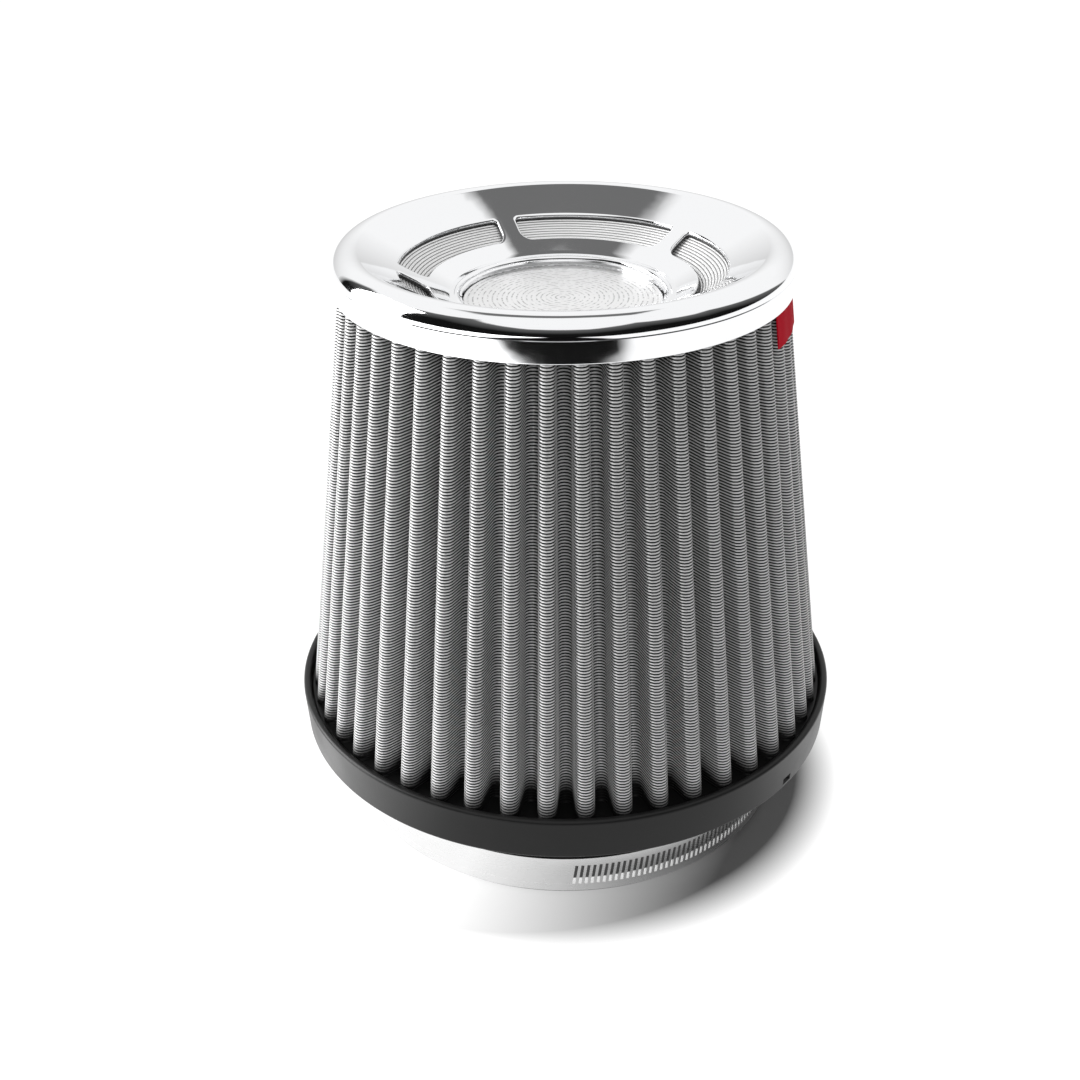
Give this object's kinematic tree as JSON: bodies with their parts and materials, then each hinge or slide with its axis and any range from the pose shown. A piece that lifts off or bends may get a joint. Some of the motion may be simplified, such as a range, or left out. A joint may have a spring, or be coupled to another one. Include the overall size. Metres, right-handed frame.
{
  "type": "cone air filter",
  "caption": "Open cone air filter: pleated steel mesh between a moulded base with a clamped neck and a chromed bell-mouth cap with windows.",
  "frame": {"origin": "on the filter's axis, at the end of the neck, which is the floor that it stands on", "axes": "+Z along the axis from the neck to the cap, -Y to the front as seen in the picture, +X to its right"},
  "size_m": [0.1398, 0.1398, 0.1488],
  "materials": {
    "black_moulding": "satin moulded polyurethane",
    "steel_mesh": "woven stainless wire",
    "chrome_cap": "polished chrome plate",
    "potting": "cured potting",
    "spun_plate": "spun with concentric lines",
    "clamp_steel": "bright rolled stainless steel",
    "red_tag": "woven tag"
  },
  "bodies": {
    "filter": {"base_flange": "black_moulding", "pleated_mesh": "steel_mesh", "top_cap": "chrome_cap", "top_potting": "potting", "window_screen": "steel_mesh", "centre_disc": "spun_plate", "clamp_band": "clamp_steel", "clamp_housing": "clamp_steel", "side_tag": "red_tag"},
    "screw": {"clamp_screw": "clamp_steel"}
  },
  "joints": [
    {"name": "clamp_screw_turn", "type": "hinge", "parent": "filter", "child": "screw", "pos_m": [0.05215, 0.03259, 0.0063], "axis": [0.5299, -0.848, 0], "continuous": true}
  ]
}
